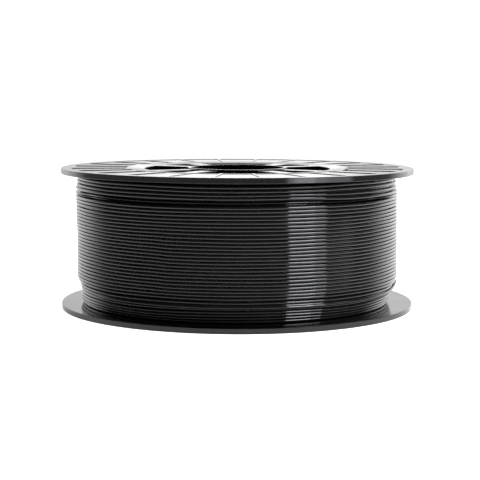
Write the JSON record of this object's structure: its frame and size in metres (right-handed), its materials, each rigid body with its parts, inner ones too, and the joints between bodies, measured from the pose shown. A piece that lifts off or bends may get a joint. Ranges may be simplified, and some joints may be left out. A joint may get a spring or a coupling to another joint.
{
  "type": "filament spool",
  "caption": "Full spool of round filament: ribbed flanges with hub windows snap onto a moulded core with a plain through bore, and the strand is wound between them.",
  "frame": {"origin": "centre of the face that the spool rests on, on the spool's axis", "axes": "+Z along the spool's axis, up from the resting face; the 0-degree hub window lies towards +X"},
  "size_m": [0.2, 0.2, 0.079],
  "materials": {
    "moulded_plastic": "injection-moulded black polystyrene, satin gloss with fine moulding texture",
    "filament": "extruded black PLA, smooth satin gloss"
  },
  "bodies": {
    "root": {"upper_flange": "moulded_plastic", "lower_flange": "moulded_plastic", "core": "moulded_plastic", "filament_buried_turns": "filament", "filament_outer_turns": "filament", "filament_loose_end": "filament"}
  },
  "joints": []
}
